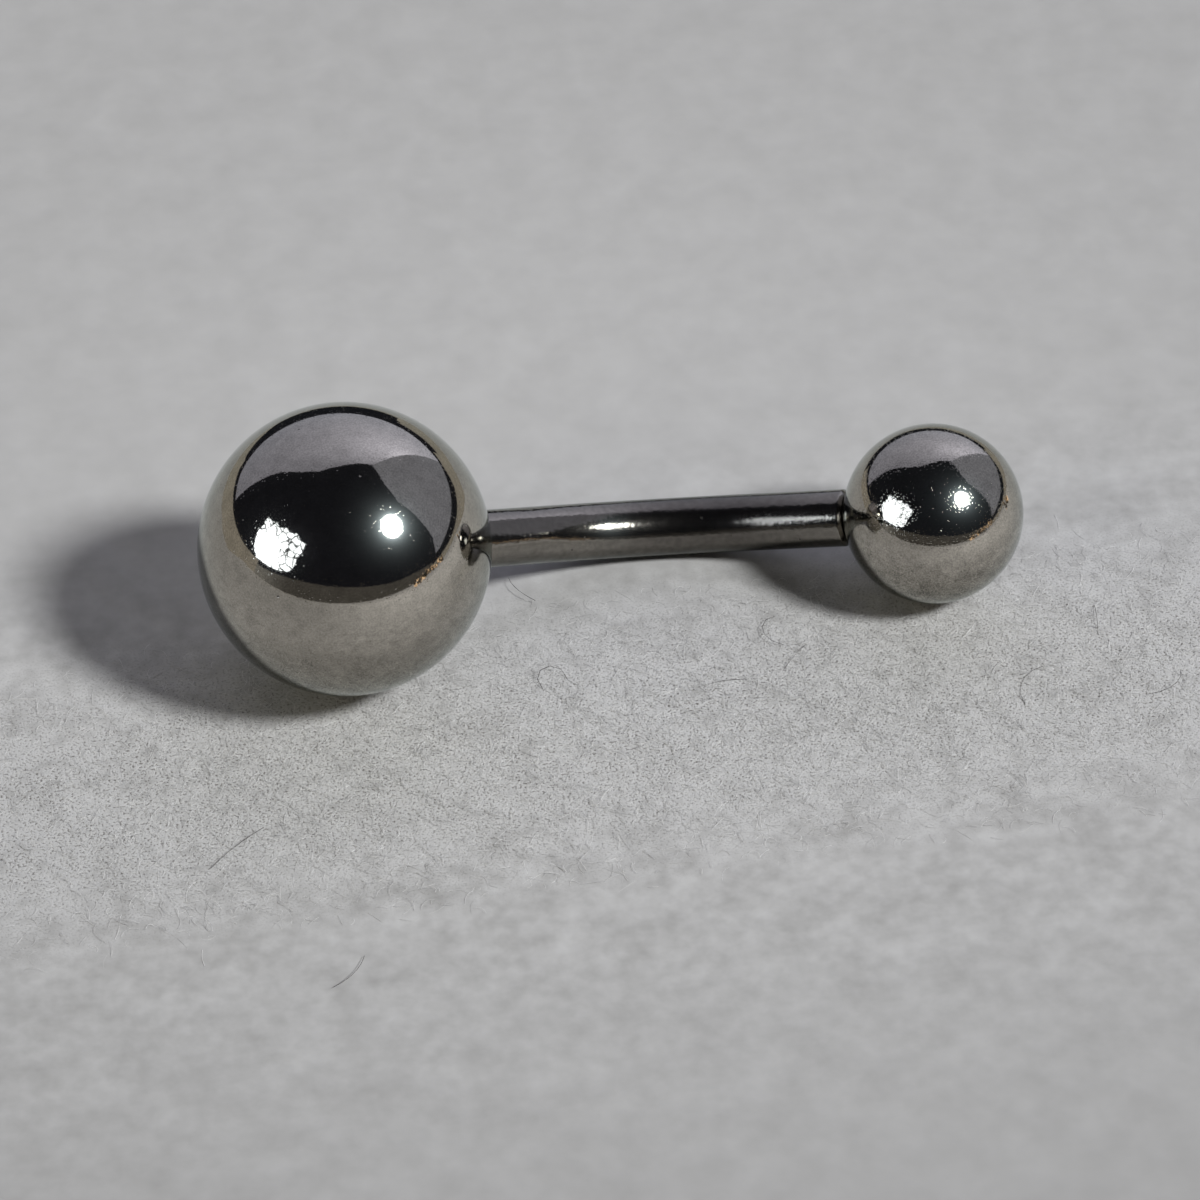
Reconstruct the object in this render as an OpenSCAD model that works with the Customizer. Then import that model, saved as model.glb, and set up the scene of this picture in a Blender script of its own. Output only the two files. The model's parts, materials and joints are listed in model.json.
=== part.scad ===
// Curved barbell: a bent bar with a screwed-on ball at each end, lying at rest on a surface.
// It rests on three points, which are the two balls and the lowest point of the bend.
// X runs from the large ball to the small one, Z is up, and the surface is at z = 0.

/* [Bar] */
// Diameter of the bar
bar_d = 1.6; // [1.2:0.1:2]
// Angle between the two straight ends
bend_angle = 60; // [50:1:70]
// Radius of the bend on the bar's centre line
bend_r = 7; // [6:0.5:9]
// Length of each straight end, up to its shoulder
end_l = 2.3; // [1.5:0.1:4]
// Chamfer round each shoulder
shoulder_chamfer = 0.15; // [0.05:0.01:0.2]

/* [Balls] */
// Diameter of the large ball
large_ball_d = 8; // [6:0.5:10]
// Diameter of the small ball
small_ball_d = 5; // [4:0.5:6]
// Countersink round the mouth of each socket
mouth_chamfer = 0.08; // [0.04:0.01:0.15]

/* [Threads] */
// Outer diameter of the threaded post
thread_d = 1.2; // [0.9:0.05:1.2]
// Distance from one thread crest to the next
thread_pitch = 0.25; // [0.2:0.01:0.3]
// Angle between the two flanks of a thread
thread_angle = 60; // [50:1:70]
// Length of the post past its shoulder
post_l = 2.2; // [1.6:0.1:2.6]
// Plain neck between the shoulder and the first thread
neck_l = 0.2; // [0.1:0.05:0.4]
// Chamfer at the tip of the post
tip_chamfer = 0.15; // [0.05:0.01:0.2]

/* [Clearances] */
// Gap all round between the post and its socket
socket_clearance = 0.04; // [0.02:0.01:0.08]
// Room in the socket past the tip of the post
socket_relief = 0.3; // [0.1:0.05:0.5]
// Gap between the shoulder and the mouth of the socket
seat_gap = 0.02; // [0.01:0.01:0.05]

/* [Hidden] */
$fn = 96;
steel = [0.75, 0.74, 0.71];
past = 1; // how far a cutter reaches past the face it cuts
bend_lap = 0.05; // how far each straight end reaches into the bend
bend_trim = 0.005; // the bend is this much slimmer all round, so that the two surfaces meet in a clean circle

bar_r = bar_d / 2;
thread_r = thread_d / 2;
large_r = large_ball_d / 2;
small_r = small_ball_d / 2;
half_bend = bend_angle / 2;

// Socket, which follows the post
socket_r = thread_r + socket_clearance;
mouth_r = socket_r + mouth_chamfer;
socket_l = post_l + socket_relief;

// Distance from a ball's centre to the flat mouth of its socket, and to the shoulder seated there
function mouth_h(ball_r) = sqrt(pow(ball_r, 2) - pow(mouth_r, 2));
function seat_h(ball_r) = mouth_h(ball_r) + seat_gap;

// One thread: crest and root are each an eighth of the pitch wide, and the flanks take the rest
crest_w = thread_pitch / 8;
flank_w = (thread_pitch - 2 * crest_w) / 2;
core_r = thread_r - flank_w / tan(thread_angle / 2);
thread_count = floor((post_l - neck_l - tip_chamfer) / thread_pitch);
function thread_points(y) = [
    [core_r, y],
    [thread_r, y + flank_w],
    [thread_r, y + flank_w + crest_w],
    [core_r, y + 2 * flank_w + crest_w]
];

// Half outline of one end, from the bend to the tip of the post, with y along its axis
end_outline = concat(
    [[0, -bend_lap], [bar_r, -bend_lap]],
    [[bar_r, end_l - shoulder_chamfer], [bar_r - shoulder_chamfer, end_l], [core_r, end_l]],
    [for (i = [0 : thread_count - 1], p = thread_points(end_l + neck_l + i * thread_pitch)) p],
    [[core_r, end_l + post_l - tip_chamfer], [core_r - tip_chamfer, end_l + post_l], [0, end_l + post_l]]
);

// The bar's own plane: x = 0 is its middle, y = 0 is the line through both shoulders, and +y is the outside of the bend
shoulder_x = end_l * cos(half_bend) + bend_r * sin(half_bend);
bow_h = end_l * sin(half_bend) + bend_r * (1 - cos(half_bend));
bend_centre = [0, bow_h - bend_r];
large_centre = [-shoulder_x - seat_h(large_r) * cos(half_bend), -seat_h(large_r) * sin(half_bend)];
small_centre = [shoulder_x + seat_h(small_r) * cos(half_bend), -seat_h(small_r) * sin(half_bend)];

// The line of centres runs from the large ball to the small one
centres = small_centre - large_centre;
centres_l = norm(centres);
centres_turn = atan2(centres[1], centres[0]);
bend_x = (bend_centre - large_centre) * centres / centres_l;
bend_y = cross(centres, bend_centre - large_centre) / centres_l;

// At rest both balls touch the surface, so the line of centres slopes down to the small ball
tilt = asin((large_r - small_r) / centres_l);
// The bar then rolls about that line until its bend touches the surface too. rest_drop is the fall for each
// millimetre out from the line, and it solves a quadratic. A bend too shallow to touch would hang plumb.
rest_h = large_r - bar_r - bend_x * sin(tilt);
rest_a = pow(bend_r, 2) - pow(bend_y, 2);
rest_b = rest_h * bend_y;
rest_c = pow(bend_r * sin(tilt), 2) - pow(rest_h, 2);
rest_drop = (sqrt(pow(rest_b, 2) - rest_a * rest_c) - rest_b) / rest_a;
roll = asin(min(1, rest_drop / cos(tilt)));

// The origin is the middle of the object's box, on the surface
left_x = -large_r;
right_x = centres_l * cos(tilt) + small_r;
front_y = -max(large_r, small_r);
back_y = max(large_r, small_r, (bend_y + bend_r) * cos(roll) + bar_r);

// Sets pieces drawn in the bar's own plane down on the surface
module at_rest() {
    translate([-(left_x + right_x) / 2, -(front_y + back_y) / 2, large_r])
        rotate([-roll, tilt, 0])
            rotate([0, 0, -centres_turn])
                translate([-large_centre[0], -large_centre[1], 0])
                    children();
}

// One straight end with its shoulder and post, along +Z
module threaded_end() {
    rotate_extrude() polygon(end_outline);
}

// The end on the small ball's side, in the bar's own plane
module placed_end() {
    translate([bend_r * sin(half_bend), bend_centre[1] + bend_r * cos(half_bend), 0])
        rotate([0, 90, -half_bend])
            threaded_end();
}

module curved_bar() {
    color(steel) at_rest() union() {
        translate([0, bend_centre[1], 0])
            rotate([0, 0, 90 - half_bend])
                rotate_extrude(angle = bend_angle) translate([bend_r, 0]) circle(r = bar_r - bend_trim);
        placed_end();
        mirror([1, 0, 0]) placed_end();
    }
}

// A ball round the origin, with its socket opening towards +Z
module socket_ball(ball_r) {
    difference() {
        sphere(r = ball_r);
        translate([0, 0, mouth_h(ball_r)]) rotate_extrude() polygon([
            [0, -socket_l],
            [socket_r, -socket_l],
            [socket_r, -mouth_chamfer],
            [mouth_r, 0],
            [mouth_r, past],
            [0, past]
        ]);
    }
}

module large_ball() {
    color(steel) at_rest()
        translate([large_centre[0], large_centre[1], 0])
            rotate([0, 90, half_bend])
                socket_ball(large_r);
}

module small_ball() {
    color(steel) at_rest()
        translate([small_centre[0], small_centre[1], 0])
            rotate([0, -90, -half_bend])
                socket_ball(small_r);
}

curved_bar();
large_ball();
small_ball();
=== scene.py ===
import json
import math
import random

import bmesh
import bpy
from mathutils import Matrix, Vector


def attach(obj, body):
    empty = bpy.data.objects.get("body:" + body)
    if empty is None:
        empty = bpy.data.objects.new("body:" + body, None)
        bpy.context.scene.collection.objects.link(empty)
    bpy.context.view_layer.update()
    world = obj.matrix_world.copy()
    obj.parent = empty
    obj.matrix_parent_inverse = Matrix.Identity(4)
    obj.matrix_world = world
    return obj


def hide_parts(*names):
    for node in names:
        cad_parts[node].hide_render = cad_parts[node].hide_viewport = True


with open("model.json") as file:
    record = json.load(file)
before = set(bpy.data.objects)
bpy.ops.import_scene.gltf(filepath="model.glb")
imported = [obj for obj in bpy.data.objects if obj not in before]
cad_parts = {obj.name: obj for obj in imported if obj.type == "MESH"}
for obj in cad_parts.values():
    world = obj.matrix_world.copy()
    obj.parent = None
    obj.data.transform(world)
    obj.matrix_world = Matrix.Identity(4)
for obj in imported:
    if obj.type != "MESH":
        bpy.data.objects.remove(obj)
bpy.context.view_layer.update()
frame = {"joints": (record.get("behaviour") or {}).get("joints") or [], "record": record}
scene = bpy.context.scene
mm = 0.001
weld = 1e-4 * mm  # points closer together than this are one point
print("frame loaded")


cameraView = {
    "azimuth": -10.97,
    "elevation": 42.55,
    "distance": 165.8,
    "lookAt": (-0.419, 0, 0.893),
    "lens": 179.9,
    "sensor": 36,
    "clip": (0.01, 10),
}


def direction(azimuth, elevation):
    # azimuth 0 points at the viewer's side, -Y, and 90 at +X
    a = math.radians(azimuth)
    e = math.radians(elevation)
    return Vector((math.sin(a) * math.cos(e), -math.cos(a) * math.cos(e), math.sin(e)))


def aim(thing, towards):
    # a camera or a light looks along its own -Z
    thing.rotation_mode = "QUATERNION"
    thing.rotation_quaternion = towards.to_track_quat("-Z", "Y")


def addCamera():
    data = bpy.data.cameras.new("camera")
    data.lens = cameraView["lens"]
    data.sensor_width = cameraView["sensor"]
    data.clip_start, data.clip_end = cameraView["clip"]
    camera = bpy.data.objects.new("camera", data)
    scene.collection.objects.link(camera)
    back = direction(cameraView["azimuth"], cameraView["elevation"])
    camera.location = (Vector(cameraView["lookAt"]) + back * cameraView["distance"]) * mm
    aim(camera, -back)
    scene.camera = camera


addCamera()
scene.view_settings.view_transform = "Standard"
print("camera placed")


class Wire:
    # one output of a node, which sums and products can be written with
    def __init__(self, tree, socket=None):
        self.tree = tree
        self.socket = socket

    def node(self, kind, settings=None, inputs=None, output=0):
        # the settings are set first, then the values or links of the sockets
        made = self.tree.nodes.new("ShaderNode" + kind)
        for name, value in (settings or {}).items():
            setattr(made, name, value)
        for name, value in (inputs or {}).items():
            self.join(value, made.inputs[name])
        return Wire(self.tree, made.outputs[output] if made.outputs else None)

    def join(self, value, socket):
        # a link from another node, or a plain number or colour
        if isinstance(value, Wire):
            self.tree.links.new(value.socket, socket)
        else:
            socket.default_value = value

    def beside(self, output):
        # another output of the same node
        return Wire(self.tree, self.socket.node.outputs[output])

    def maths(self, operation, first, second):
        return self.node("Math", {"operation": operation}, {0: first, 1: second})

    def __add__(self, other):
        return self.maths("ADD", self, other)

    def __radd__(self, other):
        return self.maths("ADD", other, self)

    def __sub__(self, other):
        return self.maths("SUBTRACT", self, other)

    def __rsub__(self, other):
        return self.maths("SUBTRACT", other, self)

    def __mul__(self, other):
        return self.maths("MULTIPLY", self, other)

    def __rmul__(self, other):
        return self.maths("MULTIPLY", other, self)

    def __gt__(self, other):
        return self.maths("GREATER_THAN", self, other)

    def __lt__(self, other):
        return self.maths("LESS_THAN", self, other)

    def __pow__(self, other):
        return self.maths("POWER", self, other)

    def fade(self, low, high, toLow=0.0, toHigh=1.0):
        # a smooth step from toLow to toHigh while the value goes from low to high
        return self.node(
            "MapRange",
            {"interpolation_type": "SMOOTHSTEP"},
            {"Value": self, "From Min": low, "From Max": high, "To Min": toLow, "To Max": toHigh},
        )

    def blend(self, first, second):
        # the colour first where this value is 0, second where it is 1
        made = self.tree.nodes.new("ShaderNodeMix")
        made.data_type = "RGBA"
        for place, value in ((0, self), (6, first), (7, second)):
            self.join(value, made.inputs[place])
        return Wire(self.tree, made.outputs[2])


def newMaterial(name):
    material = bpy.data.materials.new(name)
    material.use_nodes = True
    material.node_tree.nodes.clear()
    return material, Wire(material.node_tree)


def noise(wire, where, scale, detail, output=0):
    return wire.node("TexNoise", {}, {"Vector": where, "Scale": scale, "Detail": detail}, output)


ballLook = {
    "colour": (0.385, 0.36, 0.316, 1),
    "edgeTint": (0.95, 1.0, 1.0, 1),  # reflection near the outline, a little colder
    "roughness": 0.045,
    "cloudScale": 420.0,  # slow changes in the polish
    "cloudRoughness": 0.02,
    "grainSize": 0.05 * mm,
    "grainDepth": 0.0003 * mm,
    "peelSize": 0.35 * mm,  # faint waviness left by tumbling
    "peelDepth": 0.0006 * mm,
    "film": 0.95,  # contrast of the thin uneven film on the steel
    "filmTones": (0.5, 1.5),  # darkest and brightest, as shares of the colour
    "filmPeel": 0.45,  # how far it follows the waviness
    "filmBelow": 1.9,  # how much more of it is on the underside
    "filmHeights": (0.5 * mm, 4 * mm),
    "pitColour": (0.10, 0.09, 0.08, 1),
    "pitTone": 0.9,
    "pitRoughness": 0.3,
    "pitDepth": 0.004 * mm,
    "pitSpacing": 0.42 * mm,
    "pitSize": 0.065,  # share of the spacing
    "pitShare": 0.4,
    "dustRoughness": 0.05,
    "dustHeight": 0.001 * mm,
    "dustSpacing": 0.065 * mm,
    "dustSize": 0.28,
    "dustShare": 0.15,
    "hazeShare": 0.02,
    "hazeRoughness": 0.28,
}
smallBallLook = {
    **ballLook,
    "grainDepth": 0.0006 * mm,
    "dustHeight": 0.0011 * mm,
    "dustSpacing": 0.047 * mm,
    "dustSize": 0.36,
    "dustShare": 0.4,
    "hazeShare": 0.0015,
}
barLook = {
    **ballLook,
    "colour": (0.212, 0.197, 0.174, 1),
    "dullColour": (0.14, 0.129, 0.115, 1),
    "dullRoughness": 0.07,
    "dullFrom": (-1.0 * mm, 2.4 * mm),  # where the dull length fades in along the bar
    "dullTo": (3.6 * mm, 6.6 * mm),  # and where it fades out again
    "film": 0.25,
    "roughness": 0.11,
    "cloudRoughness": 0.06,
    "grainSize": 0.15 * mm,
    "grainDepth": 0.007 * mm,
    "peelDepth": 0.003 * mm,
    "hazeShare": 0.05,
    "hazeRoughness": 0.4,
}


def scaled(colour, share):
    return [share * part for part in colour[:3]] + [1]


def makeSteel(name, look):
    material, wire = newMaterial(name)
    where = wire.node("TexCoord", output="Object")
    x = wire.node("SeparateXYZ", {}, {"Vector": where})
    z = x.beside("Z")

    # uneven polish, fine grain and a slight waviness
    cloud = noise(wire, where, look["cloudScale"], 4.0)
    grain = noise(wire, where, 1 / look["grainSize"], 3.0)
    peel = noise(wire, where, 1 / look["peelSize"], 1.0)
    roughness = look["roughness"] + look["cloudRoughness"] * (cloud - 0.5)
    height = grain * look["grainDepth"] + peel * look["peelDepth"]

    # a thin film of lint and fingerprints, patchiest on the underside
    tones = [scaled(look["colour"], share) for share in look["filmTones"]]
    if "dullColour" in look:
        dull = x.fade(*look["dullFrom"]) * x.fade(*look["dullTo"], 1, 0)
        for i, share in enumerate(look["filmTones"]):
            tones[i] = dull.blend(tones[i], scaled(look["dullColour"], share))
        roughness = roughness + look["dullRoughness"] * dull
    below = 1 + look["filmBelow"] * z.fade(*look["filmHeights"], 1, 0)
    film = 0.5 + look["film"] * below * (grain - 0.5 + look["filmPeel"] * (peel - 0.5))
    colour = film.blend(*tones)

    # tiny pits and grains of dust
    pit = spots(wire, where, look["pitSpacing"], look["pitSize"], look["pitShare"])
    dust = spots(wire, where, look["dustSpacing"], look["dustSize"], look["dustShare"])
    colour = (pit * look["pitTone"]).blend(colour, look["pitColour"])
    roughness = roughness + look["pitRoughness"] * pit + look["dustRoughness"] * dust
    height = height + dust * look["dustHeight"] - pit * look["pitDepth"]
    bump = wire.node("Bump", {}, {"Height": height, "Strength": 1.0, "Distance": 1.0})
    finish = {
        "Base Color": colour, "Metallic": 1.0, "Specular Tint": look["edgeTint"], "Normal": bump,
    }
    bright = wire.node("BsdfPrincipled", {}, {**finish, "Roughness": roughness})
    haze = wire.node("BsdfPrincipled", {}, {**finish, "Roughness": look["hazeRoughness"]})
    share = look["hazeShare"] * (0.5 + cloud)
    both = wire.node("MixShader", {}, {0: share, 1: bright, 2: haze})
    wire.node("OutputMaterial", {}, {"Surface": both})
    return material


def spots(wire, where, spacing, size, share):
    # 1 on small round spots of uneven size, in the middle of some cells only, and 0 elsewhere
    cells = {"Vector": where, "Scale": 1 / spacing}
    away = wire.node("TexVoronoi", {}, cells, output="Distance")
    chance = wire.node("SeparateColor", {}, {"Color": away.beside("Color")})
    radius = size * (1.6 * chance - 0.6 * (1 - share) + 0.2)
    return (away - radius).fade(-0.6 * size, 0.3 * size, 1, 0) * (chance > 1 - share)


largeBallSteel = makeSteel("polishedSteel", ballLook)
smallBallSteel = makeSteel("dustySteel", smallBallLook)
barSteel = makeSteel("dullSteel", barLook)
print("steel made")

joints = {j["name"]: Vector(j["axis"]) for j in frame["joints"]}
largeOut = joints["large_ball_off"].normalized()
smallOut = joints["small_ball_off"].normalized()
mount = frame["record"]["mounts"][0]
along = (smallOut - largeOut).normalized()  # tangent at the middle of the bend
bulge = -(smallOut + largeOut).normalized()  # towards the outside of the bend
barFrame = Matrix((along, bulge, along.cross(bulge))).transposed().to_4x4()
barFrame.translation = Vector(mount["pos_m"])

# sizes in mm
barShape = {
    "radius": 0.8,
    "bendRadius": 7.0,
    "bendAngle": 60,
    "endLength": 2.3,
    "shoulderChamfer": 0.15,
    "shoulderRounding": 0.03,
    "ringSteps": 96,
    "bendSteps": 72,
}
threadShape = {
    "radius": 0.6,
    "pitch": 0.25,
    "flankAngle": 60,
    "length": 2.2,
    "neck": 0.15,
    "runOut": 1.2,  # how steeply the crests rise from the neck
    "tipChamfer": 0.15,
}
ballShape = {
    "largeRadius": 4.0,
    "smallRadius": 2.5,
    "socketRadius": 0.64,
    "socketLength": 2.5,
    "mouthChamfer": 0.08,
    "mouthRounding": 0.015,
    "seatGap": 0.02,
    "arcSteps": 96,
    "ringSteps": 192,
}
sharpFrom = math.radians(28)  # edges that turn more than this stay crisp


def chain(bm, points):
    # open outline in the XZ plane, given as (distance from the axis, height) in mm
    verts = [bm.verts.new((x * mm, 0, z * mm)) for x, z in points]
    edges = [bm.edges.new(pair) for pair in zip(verts, verts[1:])]
    return verts, edges


def turn(bm, geom, steps, climb=0.0):
    # spins an outline once round Z, and welds its two ends unless it climbs
    bmesh.ops.spin(
        bm, geom=geom, cent=(0, 0, 0), axis=(0, 0, 1), angle=math.tau, steps=steps,
        dvec=(0, 0, climb * mm / steps), use_merge=climb == 0,
    )


def soften(bm, edges, width, segments):
    bmesh.ops.bevel(
        bm, geom=edges, offset=width * mm, affect="EDGES", segments=segments, profile=0.5,
        material=-1,
    )


def level(edge, height):
    # whether an edge lies flat at this height, in mm
    return all(abs(v.co.z - height * mm) < weld for v in edge.verts)


def openEdges(bm, height):
    return [e for e in bm.edges if e.is_boundary and level(e, height)]


def finishPiece(bm, name, body, node, material):
    for face in bm.faces:
        face.smooth = True
    for edge in bm.edges:
        edge.smooth = len(edge.link_faces) == 2 and edge.calc_face_angle() < sharpFrom
    mesh = bpy.data.meshes.new(name)
    bm.to_mesh(mesh)
    bm.free()
    mesh.materials.append(material)
    piece = bpy.data.objects.new(name, mesh)
    scene.collection.objects.link(piece)
    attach(piece, body)
    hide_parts(node)
    print(name, len(mesh.polygons), "faces")


def threadedEnd():
    # one straight end with its shoulder and threaded post along +Z, open where it meets the bend
    bar = barShape
    thread = threadShape
    pitch = thread["pitch"]
    crest = pitch / 8
    flank = (pitch - 2 * crest) / 2
    core = thread["radius"] - flank / math.tan(math.radians(thread["flankAngle"] / 2))
    shoulder = bar["endLength"]
    neckTop = shoulder + thread["neck"]
    tip = shoulder + thread["length"]
    bm = bmesh.new()

    # a row of teeth, spun once round while it climbs by one pitch, welds into a helix
    teeth = []
    for i in range(math.ceil(thread["length"] / pitch) + 2):
        z = shoulder + (i - 1) * pitch
        teeth += [(core, z), (thread["radius"], z + flank)]
        teeth += [(thread["radius"], z + flank + crest), (core, z + 2 * flank + crest)]
    verts, edges = chain(bm, teeth)
    turn(bm, verts + edges, bar["ringSteps"], pitch)
    bmesh.ops.remove_doubles(bm, verts=bm.verts, dist=weld)
    for height, side in ((neckTop, -1), (tip, 1)):
        bmesh.ops.bisect_plane(
            bm, geom=bm.verts[:] + bm.edges[:] + bm.faces[:], dist=0.01 * weld,
            plane_co=(0, 0, height * mm), plane_no=(0, 0, side), clear_outer=True,
        )
    # the crests run out at the neck and at the tip's chamfer
    for v in bm.verts:
        z = v.co.z / mm
        neckLimit = core + thread["runOut"] * (z - neckTop)
        limit = min(neckLimit, core - thread["tipChamfer"] + tip - z)
        radius = v.co.xy.length / mm
        if radius > limit:
            v.co.xy *= limit / radius
    bmesh.ops.holes_fill(bm, edges=openEdges(bm, tip), sides=0)

    # straight end and shoulder
    chamfer = bar["shoulderChamfer"]
    verts, edges = chain(bm, [
        (bar["radius"], 0),
        (bar["radius"], shoulder - chamfer),
        (bar["radius"] - chamfer, shoulder),
        (core, shoulder),
    ])
    turn(bm, verts + edges, bar["ringSteps"])
    corners = [
        e
        for e in bm.edges
        if not e.is_boundary
        and (level(e, shoulder - chamfer) or level(e, shoulder))
        and e.verts[0].co.xy.length > (bar["radius"] - chamfer) * mm - weld
    ]
    soften(bm, corners, bar["shoulderRounding"], 3)
    bmesh.ops.bridge_loops(bm, edges=openEdges(bm, shoulder) + openEdges(bm, neckTop))
    mesh = bpy.data.meshes.new("threadedEnd")
    bm.to_mesh(mesh)
    bm.free()
    return mesh


def endFrame(side):
    # where an end leaves the bend, in the bar's own frame: Z runs outwards along the end
    half = math.radians(barShape["bendAngle"] / 2)
    outwards = Vector((side * math.cos(half), -math.sin(half), 0))
    across = Vector((0, 0, 1))
    turned = Matrix((across, outwards.cross(across), outwards)).transposed().to_4x4()
    bend = barShape["bendRadius"] * mm
    turned.translation = Vector((side * math.sin(half) * bend, (math.cos(half) - 1) * bend, 0))
    return turned


def makeBar():
    bm = bmesh.new()
    ring = bmesh.ops.create_circle(
        bm, segments=barShape["ringSteps"], radius=barShape["radius"] * mm, matrix=endFrame(-1)
    )["verts"]
    loop = list({e for v in ring for e in v.link_edges})
    bmesh.ops.spin(
        bm, geom=ring + loop, cent=(0, -barShape["bendRadius"] * mm, 0), axis=(0, 0, -1),
        angle=math.radians(barShape["bendAngle"]), steps=barShape["bendSteps"], dvec=(0, 0, 0),
        use_merge=False,
    )
    end = threadedEnd()
    for side in (-1, 1):
        placed = end.copy()
        placed.transform(endFrame(side))
        bm.from_mesh(placed)
        bpy.data.meshes.remove(placed)
    bpy.data.meshes.remove(end)
    bmesh.ops.remove_doubles(bm, verts=bm.verts, dist=weld)
    bmesh.ops.recalc_face_normals(bm, faces=bm.faces)
    bmesh.ops.transform(bm, matrix=barFrame, verts=bm.verts)
    finishPiece(bm, "bentBar", "bar", "curved_bar", barSteel)


def makeBall(name, radius, side, body, node, material):
    ball = ballShape
    mouth = ball["socketRadius"] + ball["mouthChamfer"]
    mouthHeight = math.sqrt(radius**2 - mouth**2)
    bottom = mouthHeight - ball["socketLength"]
    bm = bmesh.new()
    verts, edges = chain(bm, [
        (0, bottom),
        (ball["socketRadius"], bottom),
        (ball["socketRadius"], mouthHeight - ball["mouthChamfer"]),
        (mouth, mouthHeight),
    ])
    # the outside is an arc from the mouth round to the far pole
    bmesh.ops.spin(
        bm, geom=[verts[-1]], cent=(0, 0, 0), axis=(0, 1, 0),
        angle=math.pi - math.asin(mouth / radius), steps=ball["arcSteps"], dvec=(0, 0, 0),
        use_merge=False,
    )
    turn(bm, bm.verts[:] + bm.edges[:], ball["ringSteps"])
    bmesh.ops.remove_doubles(bm, verts=bm.verts, dist=weld)
    bmesh.ops.recalc_face_normals(bm, faces=bm.faces)
    soften(bm, [e for e in bm.edges if level(e, mouthHeight)], ball["mouthRounding"], 2)

    # the mouth faces the shoulder, a small gap away from it
    seat = Matrix.Translation((0, 0, (barShape["endLength"] + ball["seatGap"] + mouthHeight) * mm))
    placed = endFrame(side) @ seat @ Matrix.Rotation(math.pi, 4, "X")
    bmesh.ops.transform(bm, matrix=barFrame @ placed, verts=bm.verts)
    finishPiece(bm, name, body, node, material)


makeBar()
makeBall("largeBall", ballShape["largeRadius"], -1, "large_ball", "large_ball", largeBallSteel)
makeBall("smallBall", ballShape["smallRadius"], 1, "small_ball", "small_ball", smallBallSteel)


studio = {
    "floorRadius": 0.8,
    "dark": (0.0136, 0.0144, 0.019, 1),
}
ballMiddle = Vector((-7.5, 0, 4)) * mm  # of the large ball, which mirrors the studio most clearly


def glowMaterial(name, colour, strength=1.0):
    material, wire = newMaterial(name)
    if callable(colour):
        colour = colour(wire, wire.node("TexCoord", output="Object"))
    glow = wire.node("Emission", {}, {"Color": colour, "Strength": strength})
    wire.node("OutputMaterial", {}, {"Surface": glow})
    return material


def standUp(bm, name, material, onlyMirrored):
    mesh = bpy.data.meshes.new(name)
    bm.to_mesh(mesh)
    bm.free()
    mesh.materials.append(material)
    made = bpy.data.objects.new(name, mesh)
    scene.collection.objects.link(made)
    if onlyMirrored:
        # it shows in the steel and nowhere else
        made.visible_camera = False
        made.visible_diffuse = False
        made.visible_shadow = False
    return made


def panel(name, corners, material, onlyMirrored=False):
    # a flat studio panel, from its corners in metres
    bm = bmesh.new()
    bm.faces.new([bm.verts.new(corner) for corner in corners])
    return standUp(bm, name, material, onlyMirrored)


def screen(name, distance, outline, material):
    # an upright screen round the object: azimuth, low edge and high edge seen from the large ball
    bm = bmesh.new()
    low = [
        bm.verts.new(ballMiddle + distance * direction(azimuth, bottom))
        for azimuth, bottom, top in outline
    ]
    edges = [bm.edges.new(pair) for pair in zip(low, low[1:])]
    bmesh.ops.extrude_edge_only(bm, edges=edges)
    bm.verts.ensure_lookup_table()
    for vert, (azimuth, bottom, top) in zip(bm.verts[len(outline):], outline):
        vert.co = ballMiddle + distance * direction(azimuth, top)
    standUp(bm, name, material, True)


def addLight(name, kind, look, towards):
    # a light that stands in the given direction and shines back at the object
    data = bpy.data.lights.new(name, kind)
    data.energy = look["power"]
    data.color = look["colour"]
    light = bpy.data.objects.new(name, data)
    scene.collection.objects.link(light)
    aim(light, -towards)
    return light


walls = {
    "distance": 0.85,
    "backColour": (0.352, 0.36, 0.438, 1),
    "glowColour": (1.25, 1.27, 1.53, 1),
    "glowPlace": (1.0, 0.85, 0.88),
    "glowReach": 2.1,
    "glowFall": 2.14,
    # outline in X and Z, as shares of the distance
    "back": [
        (-1.28, 0.2), (-1.04, 1.17), (-0.97, 2.06), (-0.68, 2.84), (0.04, 2.82), (0.65, 2.56),
        (1.15, 2.56), (1.15, 0.15), (0.75, 0.14), (0.3, 0.12), (0, 0.08), (-0.34, 0.05),
        (-0.7, 0.09), (-1.0, 0.15),
    ],
    "sideShare": 1.15,  # the side wall is this much further away
    "sideColour": (0.3, 0.312, 0.37, 1),
    # outline in Y and Z, as shares of the side wall's distance
    "side": [
        (0.869, 0.13), (0.869, 2.3), (0.14, 1.75), (-0.21, 1.22), (-0.27, 0.62), (-0.31, 0.3),
        (-0.4, 0.12),
    ],
    "bandDistance": 0.42,
    "bandColour": (0.103, 0.098, 0.09, 1),
    "bandEndColour": (0.29, 0.287, 0.275, 1),
    "bandFade": (-0.27, -0.08),
    "band": [
        (-82, -1.5, 6), (-72, -1.5, 7.5), (-64, -1.5, 9.1), (-44, -1.5, 12.4), (-16, -1.5, 12.9),
        (3, -1.5, 11.6), (26, -1.5, 8.5), (47, -1.5, 6.2), (62, -1.5, 4),
    ],
}


def wallTone(wire, where):
    far = wire.node(
        "VectorMath", {"operation": "DISTANCE"}, {0: where, 1: walls["glowPlace"]}, output="Value"
    )
    near = 1 - far * (1 / walls["glowReach"])
    near = near.maths("MAXIMUM", near, 0.0) ** walls["glowFall"]
    return near.blend(walls["backColour"], walls["glowColour"])


def bandTone(wire, where):
    y = wire.node("SeparateXYZ", {}, {"Vector": where}, output="Y")
    return y.fade(*walls["bandFade"]).blend(walls["bandColour"], walls["bandEndColour"])


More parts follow.
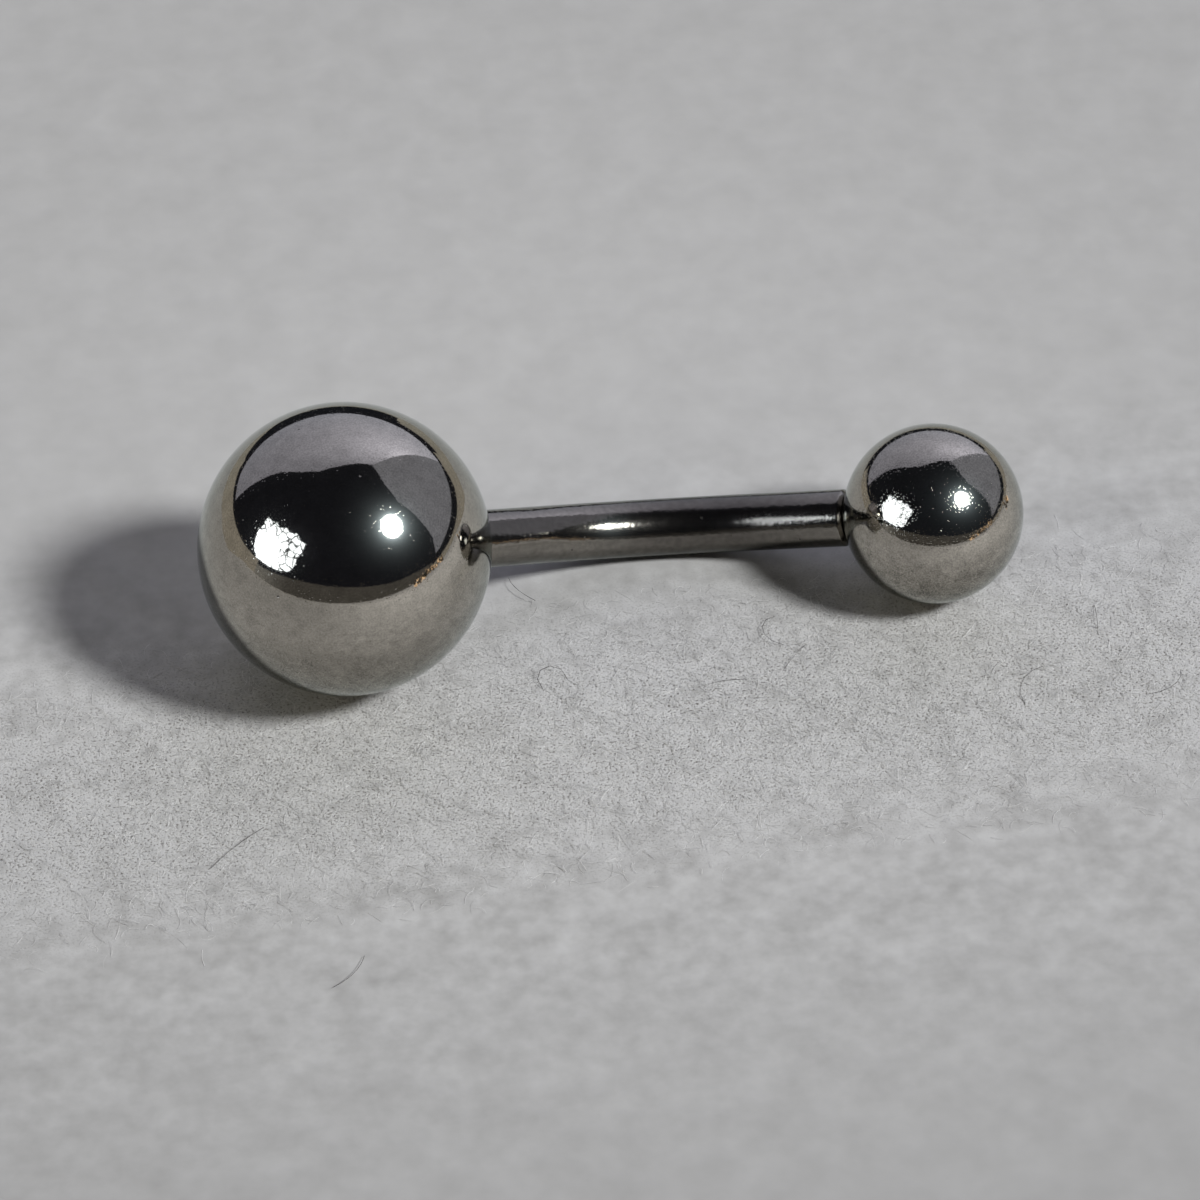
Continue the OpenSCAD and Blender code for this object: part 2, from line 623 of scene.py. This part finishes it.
def addWalls():
    back = walls["distance"]
    corners = [(x * back, back, z * back) for x, z in walls["back"]]
    panel("backPanel", corners, glowMaterial("backPanelGlow", wallTone))
    side = walls["sideShare"] * back
    corners = [(side, y * side, z * side) for y, z in walls["side"]]
    panel("sidePanel", corners, glowMaterial("sidePanelGlow", walls["sideColour"]))
    screen(
        "frontBand", walls["bandDistance"], walls["band"], glowMaterial("frontBandGlow", bandTone)
    )


table = {
    "colour": (0.385, 0.358, 0.312, 1),
    # the flat parts, height and outline in mm
    "topHeight": 0.3,
    "top": [
        (-800, 13), (-52, 13), (-50, 32), (30, 33), (28, 19), (800, 19), (800, 800), (-800, 800),
    ],
    "gapHeight": 0.5,
    "gap": [
        (-12, 33), (9, 39), (33, 92), (75, 170), (360, 800), (-420, 800), (-60, 115), (-24, 55),
    ],
    "leftDistance": 0.4,
    "left": [
        (-152, -2, -1), (-140, -2, 2.5), (-127, -2, 5), (-112, -2, 6.4), (-98, -2, 7.4),
        (-80, -2, 9),
    ],
    "rightDistance": 0.5,
    "right": [
        (137, -2, 3.5), (128, -2, 3.5), (119, -2, 1), (99, -2, 1.4), (79, -2, 2.4), (60, -2, 2.4),
    ],
}


def addTable():
    # beyond the felt the steel mirrors a bare table, with a dark gap straight behind the object
    bare = glowMaterial("bareTableGlow", table["colour"])
    gap = glowMaterial("gapGlow", studio["dark"])
    for name, part, material in (("bareTable", "top", bare), ("darkGap", "gap", gap)):
        height = table[part + "Height"]
        panel(name, [(x * mm, y * mm, height * mm) for x, y in table[part]], material, True)
    for side in ("left", "right"):
        screen(side + "Table", table[side + "Distance"], table[side], bare)


hem = {
    "seed": 3,
    "cellScale": 550.0,
    "goldFade": (0.5, 1.0),  # every cell draws a number, and the highest are gold
    "threadColour": (0.022, 0.019, 0.015, 1),
    # gold with painted glints, glowing brighter than white
    "goldPaintedGlint": (2.1, 1.5, 0.98, 1),
    "steps": 8,  # threads from one corner of the path to the next
    # sizes in mm
    "drop": 3,
    "ragged": 1.2,
    "height": (1.5, 6.5),
    "sway": 0.8,
    "frayedHem": [
        (38, -50, 4.5), (47, -50, 5.5), (55, -46, 6.5), (58, -38, 7), (57, -29, 7), (53, -20, 6.5),
    ],
    "crumb": [(39, -0.5, 3), (38.5, 6, 3)],
}


def hemTone(wire, where):
    cells = {"Vector": where, "Scale": hem["cellScale"]}
    colour = wire.node("TexVoronoi", {}, cells, output="Color")
    chance = wire.node("SeparateColor", {}, {"Color": colour})
    return chance.fade(*hem["goldFade"]).blend(hem["threadColour"], hem["goldPaintedGlint"])


def addHem():
    # a frayed golden hem in front on the right and a crumb beside it, which only the steel mirrors;
    # they glow, so their light and the gold's glints are painted in
    draw = random.Random(hem["seed"])
    material = glowMaterial("hemGlow", hemTone)
    ragged = hem["ragged"]
    sway = hem["sway"]
    for name in ("frayedHem", "crumb"):
        bm = bmesh.new()
        pairs = []
        for start, stop in zip(hem[name], hem[name][1:]):
            for k in range(hem["steps"]):
                x, y, z = Vector(start).lerp(Vector(stop), k / hem["steps"])
                low = z - hem["drop"] + draw.uniform(-ragged, ragged)
                high = low + draw.uniform(*hem["height"])
                x += draw.uniform(-sway, sway)
                pairs.append([bm.verts.new((x * mm, y * mm, h * mm)) for h in (low, high)])
        for (a, b), (c, d) in zip(pairs, pairs[1:]):
            bm.faces.new((a, c, d, b))
        standUp(bm, name, material, True)


window = {
    "distance": 0.75,
    "colour": (0.9, 1.0, 1.12, 1),
    "strength": 4.6,
    # azimuth and elevation of each corner, seen from the large ball
    "outline": [
        (-96, 33), (-93, 27), (-95, 23), (-88, 12.3), (-83, 9.5), (-71.5, 10.5), (-61, 12.5),
        (-54, 15.5), (-51, 20), (-51, 27.5), (-48, 34), (-49, 40), (-57, 41), (-60, 43),
        (-68, 40), (-74, 40.5), (-80, 37), (-85, 37.5), (-89, 35),
    ],
    "clearPlace": (-78, 20),  # the middle of the part without twigs
    "clearReach": (0.1, 0.21),  # they come in from here to here away from it, in metres
    "twigColour": (0.02, 0.022, 0.024, 1),
    "twigScale": 12.0,
    "twigWidth": 0.055,
    "twigEdge": 0.02,
    "twigsFull": 0.5,  # the share of that way where they are as dark as they get
    "bendScale": 6.0,
    "bend": 0.08,  # how far a twig strays from a straight line
}
windowFill = {
    "place": (-74, 25),
    "size": (0.6, 0.4),
    "power": 1.3,
    "colour": (1.0, 0.93, 0.7),
}


def windowTone(wire, where):
    # a bright pane with dark branches round its upper and outer edges
    bent = noise(wire, where, window["bendScale"], 2.0, "Color")
    shifted = wire.node(
        "VectorMath", {"operation": "MULTIPLY_ADD"}, {0: bent, 1: [window["bend"]] * 3, 2: where},
        output="Vector",
    )
    twigs = wire.node(
        "TexVoronoi", {"feature": "DISTANCE_TO_EDGE"},
        {"Vector": shifted, "Scale": window["twigScale"]}, output="Distance",
    )
    clear = window["distance"] * direction(*window["clearPlace"])
    outer = wire.node(
        "VectorMath", {"operation": "DISTANCE"}, {0: where, 1: clear}, output="Value"
    ).fade(*window["clearReach"])
    line = (twigs - window["twigWidth"] * outer).fade(0.0, window["twigEdge"], 1, 0)
    line = line * outer.fade(0.0, window["twigsFull"])
    return line.blend(window["colour"], window["twigColour"])


def addWindow():
    far = window["distance"]
    corners = [ballMiddle + far * direction(*corner) for corner in window["outline"]]
    pane = panel("window", corners, glowMaterial("windowGlow", windowTone, window["strength"]))
    pane.visible_diffuse = False

    # what it sheds on the felt comes from a dimmer lamp in the same place
    towards = direction(*windowFill["place"])
    fill = addLight("windowFill", "AREA", windowFill, towards)
    fill.data.shape = "RECTANGLE"
    fill.data.size, fill.data.size_y = windowFill["size"]
    fill.location = ballMiddle + far * towards
    fill.visible_glossy = False


lamp = {
    "from": (0.54, -0.464, 0.702),
    "aimedAt": (-7.47, 0, 4),  # in mm
    "distance": 0.17,
    "radius": 0.0252,
    "power": 0.18,
    "colour": (0.93, 0.98, 1.0),
}
key = {
    "from": (0.82, -0.60, 1.0),
    "softness": 11.5,
    "power": 3.2,
    "colour": (0.97, 0.98, 0.985),
}


def addLamp():
    # the lamp itself shows in the steel, and a sun from about the same side lights the floor evenly
    towards = Vector(lamp["from"]).normalized()
    disk = addLight("lamp", "AREA", lamp, towards)
    disk.data.shape = "DISK"
    disk.data.size = 2 * lamp["radius"]
    disk.location = Vector(lamp["aimedAt"]) * mm + towards * lamp["distance"]
    disk.visible_diffuse = False

    sun = addLight("key", "SUN", key, Vector(key["from"]))
    sun.data.angle = math.radians(key["softness"])
    sun.visible_glossy = False


felt = {
    "topColour": (0.43, 0.428, 0.424, 1),
    # painted shade towards the edges of the felt, and where it fades in
    "paintedFalloffColour": (0.335, 0.333, 0.329, 1),
    "paintedFalloffFade": (0.008, 0.032),
    # the pale colour that the painted sheen brings in
    "sideColour": (0.9, 0.893, 0.875, 1),  # the tips of the fibres, all that shows at a low angle
    # painted shade that fills the gaps between the fibres
    "gapShadeColour": (0.085, 0.076, 0.066, 1),
    "roughness": 0.6,
    "meanGap": 0.22,
    "broadScale": 700.0,
    "lumpSize": 0.5 * mm,
    "speckSize": 0.07 * mm,
    # from front to back, where the rough strip fades in and out, and how far from the object
    "roughFront": (-11 * mm, -5.5 * mm),
    "roughBack": (-4 * mm, 3 * mm),
    "roughReach": (0.02, 0.032),
    # the same for a wider strip with uneven tones
    "unevenFront": (-24 * mm, -5 * mm),
    "unevenBack": (-3 * mm, 9 * mm),
    # painted shade in the gaps between the fibres: how much of specks and of lumps, which of them
    # are open, how dark
    "fineShares": (0.79, 0.21),
    "fineFade": (0.35, 0.495),
    "fineDepth": 0.93,
    # contrast of the soft tones everywhere, and what the wider strip adds
    "softBroad": (0.25, 0.45),
    "softLump": (0.06, 0.7),
    "speckHeight": 0.035 * mm,
    "lumpHeight": 0.05 * mm,
    "broadHeight": 0.06 * mm,
    "bumpStrength": 0.8,
    # how much of the painted gap shade and of the lumps is left at a low angle
    "sideGap": 0.6,
    "sideTufts": 0.9,
    # painted sheen: two directions that lean towards the lamp and away from it, and what their
    # difference does
    "lampSide": 54,
    "napLean": 85,
    "aheadGain": 7.3,
    "aheadPower": 1.3,
    "aheadShare": 0.67,
    # what a low angle alone does to the painted sheen
    "slantTo": 0.4,
    "slantShare": 0.33,
}


def addFloor():
    material, wire = newMaterial("feltSheet")
    where = wire.node("TexCoord", output="Object")
    broad = noise(wire, where, felt["broadScale"], 2.0)
    lump = noise(wire, where, 1 / felt["lumpSize"], 2.0)
    speck = noise(wire, where, 1 / felt["speckSize"], 2.0)

    # the felt is rough along a strip through the object, and smoothed down in front and behind
    y = wire.node("SeparateXYZ", {}, {"Vector": where}, output="Y")
    reach = wire.node("VectorMath", {"operation": "LENGTH"}, {0: where}, output="Value")
    rough = y.fade(*felt["roughBack"], 1, 0) * y.fade(*felt["roughFront"])
    rough = rough * reach.fade(*felt["roughReach"], 1, 0)
    uneven = y.fade(*felt["unevenBack"], 1, 0) * y.fade(*felt["unevenFront"])

    # painted shade in the dark gaps between the fibres, gathered in loose patches, close up at a
    # low angle
    speckShare, lumpShare = felt["fineShares"]
    fine = (speck * speckShare + lump * lumpShare).fade(*felt["fineFade"], 1, 0)
    broadSoft, broadUneven = felt["softBroad"]
    lumpSoft, lumpUneven = felt["softLump"]
    soft = (broad - 0.5) * (broadSoft + broadUneven * uneven)
    soft = soft + (lump - 0.5) * (lumpSoft + lumpUneven * uneven)
    gap = felt["meanGap"] + (fine * felt["fineDepth"] - felt["meanGap"]) * rough + soft
    height = (speck * felt["speckHeight"] + lump * felt["lumpHeight"]) * rough
    height = height + broad * felt["broadHeight"]
    bump = wire.node(
        "Bump", {}, {"Height": height, "Strength": felt["bumpStrength"], "Distance": 1.0}
    )
    finish = {"Roughness": felt["roughness"], "Specular IOR Level": 0.0, "Normal": bump}
    # painted shade: the felt gets darker away from the object
    colour = reach.fade(*felt["paintedFalloffFade"]).blend(felt["topColour"], felt["paintedFalloffColour"])
    colour = gap.blend(colour, felt["gapShadeColour"])
    above = wire.node("BsdfPrincipled", {}, {**finish, "Base Color": colour})
    # at a low angle the pale tips hide most of the painted gap shade
    tufts = (lump - 0.5) * rough
    darkness = gap * felt["sideGap"] + tufts * felt["sideTufts"]
    colour = darkness.blend(felt["sideColour"], felt["gapShadeColour"])
    beside = wire.node("BsdfPrincipled", {}, {**finish, "Base Color": colour})

    # painted sheen: at a low angle the felt is drawn paler, most of all looking towards the lamp's
    # side, which is set here as a fixed direction
    slant = wire.node("LayerWeight", {}, {"Blend": 0.5}, output="Facing")
    leaning = []
    for side in (felt["lampSide"], felt["lampSide"] + 180):
        nap = wire.node("CombineXYZ", {}, dict(zip("XYZ", direction(side, felt["napLean"]))))
        leaning.append(
            wire.node("LayerWeight", {}, {"Blend": 0.5, "Normal": nap}, output="Facing")
        )
    ahead = leaning[0] - leaning[1]
    ahead = ahead.maths("MAXIMUM", ahead, 0.0) * slant * felt["aheadGain"]
    # painted sheen from a fixed lamp side
    paintedSheen = slant.fade(0, felt["slantTo"]) * felt["slantShare"]
    paintedSheen = paintedSheen + ahead ** felt["aheadPower"] * felt["aheadShare"]
    both = wire.node("MixShader", {}, {0: paintedSheen, 1: above, 2: beside})
    wire.node("OutputMaterial", {}, {"Surface": both})
    bm = bmesh.new()
    bmesh.ops.create_circle(bm, cap_ends=True, segments=96, radius=studio["floorRadius"])
    standUp(bm, "feltFloor", material, False)


# sizes in mm
fuzz = {
    "seed": 7,
    "patch": 8.0,
    "middle": -4.5,  # of the rough strip, front to back
    "reach": 2,  # patches on each side of the middle
    "count": 3200,
    "spread": 6,
    "length": (0.15, 0.65),
    "radius": 0.0045,
    "rise": 0.12,
    "curl": 0.28,
    "darkColour": (0.5, 0.495, 0.485, 1),
    "paleColour": (0.86, 0.855, 0.845, 1),
    "roughness": 0.6,
    "gloss": 0.1,
}
strayHair = {
    "count": 10,
    "half": 15,  # of the width they lie on
    "spread": 9,
    "length": (1.0, 2.2),
    "radius": 0.008,
    "rise": 0.25,
    "curl": 0.35,
    "colour": (0.05, 0.045, 0.04, 1),
    "roughness": 0.5,
}


def fibreMesh(name, draw, look, count, half, thinning=False):
    # curved fibres as one mesh, closest together along the middle of the strip
    steps = 5
    curve = bpy.data.curves.new(name, "CURVE")
    curve.dimensions = "3D"
    curve.bevel_depth = look["radius"] * mm
    curve.bevel_resolution = 0
    for i in range(count):
        spline = curve.splines.new("POLY")
        spline.points.add(steps)
        x = draw.triangular(-half, half, -half) if thinning else draw.uniform(-half, half)
        y = draw.triangular(-look["spread"], look["spread"])
        heading = draw.uniform(0, math.tau)
        bend = draw.gauss(0, look["curl"])
        step = draw.uniform(*look["length"]) / steps
        top = look["rise"] * draw.random() ** 2
        lift = draw.uniform(0.3, 1)
        for k, point in enumerate(spline.points):
            # an arch whose ends come down near the felt
            z = top * (1 - (2 * k / steps - 1) ** 2 * lift) - look["radius"] / 2
            point.co = (x * mm, y * mm, z * mm, 1)
            point.radius = draw.uniform(0.6, 1.2)
            x += step * math.cos(heading)
            y += step * math.sin(heading)
            heading += bend
    raw = bpy.data.objects.new(name, curve)
    scene.collection.objects.link(raw)
    bpy.context.view_layer.update()
    mesh = bpy.data.meshes.new_from_object(raw)
    bpy.data.objects.remove(raw)
    mesh.materials.clear()
    return mesh


def addFuzz():
    # a row of patches of short curved fibres along the strip, thinning out towards both ends
    material, wire = newMaterial("feltFibre")
    chance = wire.node("NewGeometry", output="Random Per Island")
    fibre = wire.node("BsdfPrincipled", {}, {
        "Base Color": chance.blend(fuzz["darkColour"], fuzz["paleColour"]),
        "Roughness": fuzz["roughness"],
        "Specular IOR Level": fuzz["gloss"],
    })
    wire.node("OutputMaterial", {}, {"Surface": fibre})
    draw = random.Random(fuzz["seed"])
    half = fuzz["patch"] / 2
    full = fibreMesh("feltFibres", draw, fuzz, fuzz["count"], half)
    sparse = fibreMesh("sparseFibres", draw, fuzz, fuzz["count"] // 2, half, thinning=True)
    for mesh in (full, sparse):
        mesh.materials.append(material)
    reach = fuzz["reach"]
    for i in range(-reach, reach + 1):
        last = abs(i) == reach
        tuft = bpy.data.objects.new("feltPatch", sparse if last else full)
        tuft.location = (i * fuzz["patch"] * mm, fuzz["middle"] * mm, 0)
        # an end patch is sparse on its outer side, and the others face either way
        tuft.rotation_euler = (0, 0, (i < 0 if last else draw.randrange(2)) * math.pi)
        scene.collection.objects.link(tuft)

    # and a few dark hairs
    material, wire = newMaterial("strayHair")
    finish = {"Base Color": strayHair["colour"], "Roughness": strayHair["roughness"]}
    wire.node("OutputMaterial", {}, {"Surface": wire.node("BsdfPrincipled", {}, finish)})
    mesh = fibreMesh("strayHairs", draw, strayHair, strayHair["count"], strayHair["half"])
    mesh.materials.append(material)
    hairs = bpy.data.objects.new("strayHairs", mesh)
    hairs.location.y = fuzz["middle"] * mm
    scene.collection.objects.link(hairs)


def setWorld():
    world = bpy.data.worlds.new("darkRoom")
    world.use_nodes = True
    world.node_tree.nodes["Background"].inputs["Color"].default_value = studio["dark"]
    scene.world = world


lensGlow = {
    "Threshold": 1.6,
    "Size": 0.15,
    "Strength": 0.85,
    "Tint": (0.72, 0.88, 1.0, 1),
}


def addGlare():
    # the lamp's mirror image glows a little in the lens
    scene.use_nodes = True
    tree = scene.node_tree
    tree.nodes.clear()
    layers = tree.nodes.new("CompositorNodeRLayers")
    glare = tree.nodes.new("CompositorNodeGlare")
    glare.glare_type = "FOG_GLOW"
    glare.quality = "HIGH"
    for name, value in lensGlow.items():
        glare.inputs[name].default_value = value
    out = tree.nodes.new("CompositorNodeComposite")
    tree.links.new(layers.outputs["Image"], glare.inputs["Image"])
    tree.links.new(glare.outputs["Image"], out.inputs["Image"])


addWalls()
addTable()
addHem()
addWindow()
addLamp()
addFloor()
addFuzz()
setWorld()
addGlare()
print("studio built")
